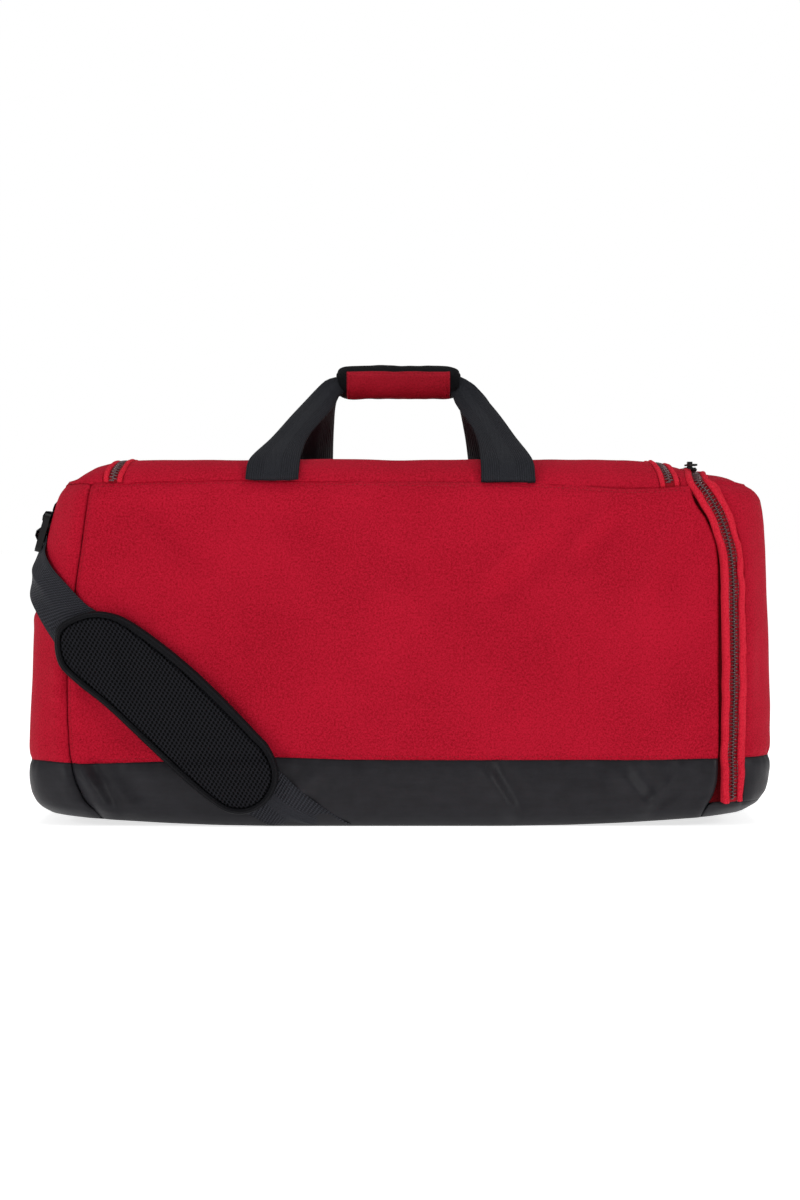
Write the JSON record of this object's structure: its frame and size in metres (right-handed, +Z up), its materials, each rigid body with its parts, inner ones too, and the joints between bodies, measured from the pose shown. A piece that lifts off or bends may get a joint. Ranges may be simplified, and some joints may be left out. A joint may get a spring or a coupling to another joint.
{
  "type": "hockey equipment bag",
  "caption": "Large rectangular kit holdall with coated base band, U-zip lid, zipped end pocket, joined webbing carry handles and a padded shoulder strap.",
  "frame": {"origin": "bottom centre of the whole bag's box, on the floor it stands on", "axes": "+X along the bag towards the zipped end pocket, -Y is the near long side with the shoulder pad, +Z up"},
  "size_m": [0.694, 0.3394, 0.4335],
  "materials": {
    "red_canvas": "fine woven polyester canvas, slight sheen",
    "coated_band": "smooth coated fabric, satin",
    "red_tape": "woven zip tape and folded welt",
    "zip_teeth": "spiral coil teeth, worn satin",
    "webbing": "ribbed woven webbing",
    "slider_metal": "black enamel",
    "pull_tab": "moulded matt tab",
    "buckle_plastic": "moulded acetal, fine texture",
    "lining": "plain lining cloth",
    "grip_padding": "padded wrap with bound edges",
    "pad_mesh": "air mesh over foam",
    "pad_binding": "folded grosgrain binding"
  },
  "bodies": {
    "bag": {"front_panel": "red_canvas", "back_panel": "red_canvas", "left_end_panel": "red_canvas", "front_band": "coated_band", "back_band": "coated_band", "left_end_band": "coated_band", "base_panel": "coated_band", "end_sill": "coated_band", "left_top_strip": "red_canvas", "right_top_strip": "red_canvas", "end_divider": "lining", "lid_zip_tape_fixed": "red_tape", "lid_zip_teeth_fixed": "zip_teeth", "top_welt": "red_tape", "end_zip_tape_fixed": "red_tape", "end_zip_teeth_fixed": "zip_teeth", "end_welt_fixed": "red_tape", "strap_webbing": "webbing", "left_chape": "webbing", "right_chape": "webbing"},
    "lid": {"lid_panel": "red_canvas", "lid_zip_tape_moving": "red_tape", "lid_zip_teeth_moving": "zip_teeth", "lid_welt": "red_tape"},
    "near_roots": {"near_handle_roots": "webbing"},
    "near_handle": {"near_handle_webbing": "webbing", "grip_wrap": "grip_padding", "grip_wrap_face": "red_canvas"},
    "far_roots": {"far_handle_roots": "webbing"},
    "far_handle": {"far_handle_webbing": "webbing"},
    "lid_slider_l": {"lid_slider_left": "slider_metal"},
    "lid_slider_r": {"lid_slider_right": "slider_metal"},
    "lid_pull_l": {"lid_pull_left": "pull_tab"},
    "lid_pull_r": {"lid_pull_right": "pull_tab"},
    "end_slider_body": {"end_slider": "slider_metal"},
    "end_pull_tab": {"end_pull": "pull_tab"},
    "end_door": {"end_door_panel": "red_canvas", "end_door_band": "coated_band", "end_zip_tape_moving": "red_tape", "end_zip_teeth_moving": "zip_teeth", "end_welt_moving": "red_tape"},
    "buckle_l": {"left_buckle": "buckle_plastic"},
    "buckle_r": {"right_buckle": "buckle_plastic"},
    "shoulder_pad": {"pad_cushion": "pad_mesh", "pad_binding": "pad_binding", "pad_keepers": "webbing"}
  },
  "joints": [
    {"name": "lid_open", "type": "hinge", "parent": "bag", "child": "lid", "pos_m": [0, -0.15396, 0.322], "axis": [1, 0, 0], "range_deg": [0, 100]},
    {"name": "near_root_swing", "type": "hinge", "parent": "bag", "child": "near_roots", "pos_m": [0, -0.15906, 0.322], "axis": [1, 0, 0], "range_deg": [0, 187]},
    {"name": "near_handle_fold", "type": "hinge", "parent": "near_roots", "child": "near_handle", "pos_m": [0, -0.15306, 0.341], "axis": [1, 0, 0], "range_deg": [0, 46], "deforming": ["grip_wrap"]},
    {"name": "far_root_swing", "type": "hinge", "parent": "bag", "child": "far_roots", "pos_m": [0, 0.16144, 0.323], "axis": [1, 0, 0], "range_deg": [-176, 0]},
    {"name": "far_handle_fold", "type": "hinge", "parent": "far_roots", "child": "far_handle", "pos_m": [0, 0.15944, 0.367], "axis": [1, 0, 0], "range_deg": [-72, 0]},
    {"name": "lid_slider_left_travel", "type": "slide", "parent": "bag", "child": "lid_slider_l", "axis": [1, 0, 0], "range_m": [-0.2, 0]},
    {"name": "lid_slider_right_travel", "type": "slide", "parent": "bag", "child": "lid_slider_r", "axis": [1, 0, 0], "range_m": [0, 0.19]},
    {"name": "lid_pull_left_flip", "type": "hinge", "parent": "lid_slider_l", "child": "lid_pull_l", "pos_m": [-0.0097, 0.15335, 0.33764], "axis": [0, 0.6489, -0.7609], "range_deg": [0, 100]},
    {"name": "lid_pull_right_flip", "type": "hinge", "parent": "lid_slider_r", "child": "lid_pull_r", "pos_m": [0.0097, 0.15335, 0.33764], "axis": [0, -0.6489, 0.7609], "range_deg": [0, 100]},
    {"name": "end_slider_travel", "type": "slide", "parent": "bag", "child": "end_slider_body", "axis": [0, 1, 0], "range_m": [0, 0.18]},
    {"name": "end_pull_flip", "type": "hinge", "parent": "end_slider_body", "child": "end_pull_tab", "pos_m": [0.2764, -0.09826, 0.34013], "axis": [-1, 0, 0], "range_deg": [0, 100]},
    {"name": "end_door_open", "type": "hinge", "parent": "bag", "child": "end_door", "pos_m": [0.3385, -0.00606, 0.0151], "axis": [0, 1, 0], "range_deg": [0, 85]},
    {"name": "left_buckle_play", "type": "hinge", "parent": "bag", "child": "buckle_l", "pos_m": [-0.3344, -0.08406, 0.2905], "axis": [0, 1, 0], "range_deg": [0, 5]},
    {"name": "right_buckle_play", "type": "hinge", "parent": "bag", "child": "buckle_r", "pos_m": [0.2325, 0.16174, 0.288], "axis": [1, 0, 0], "range_deg": [0, 5]},
    {"name": "pad_slide", "type": "slide", "parent": "bag", "child": "shoulder_pad", "axis": [0.7385, 0, -0.6743], "range_m": [-0.006, 0.01]}
  ],
  "couplings": [
    {"joint": "near_root_swing", "follows": "lid_open", "ratio": 1.87},
    {"joint": "near_handle_fold", "follows": "lid_open", "ratio": 0.46},
    {"joint": "far_root_swing", "follows": "lid_open", "ratio": -1.76},
    {"joint": "far_handle_fold", "follows": "lid_open", "ratio": -0.72}
  ]
}
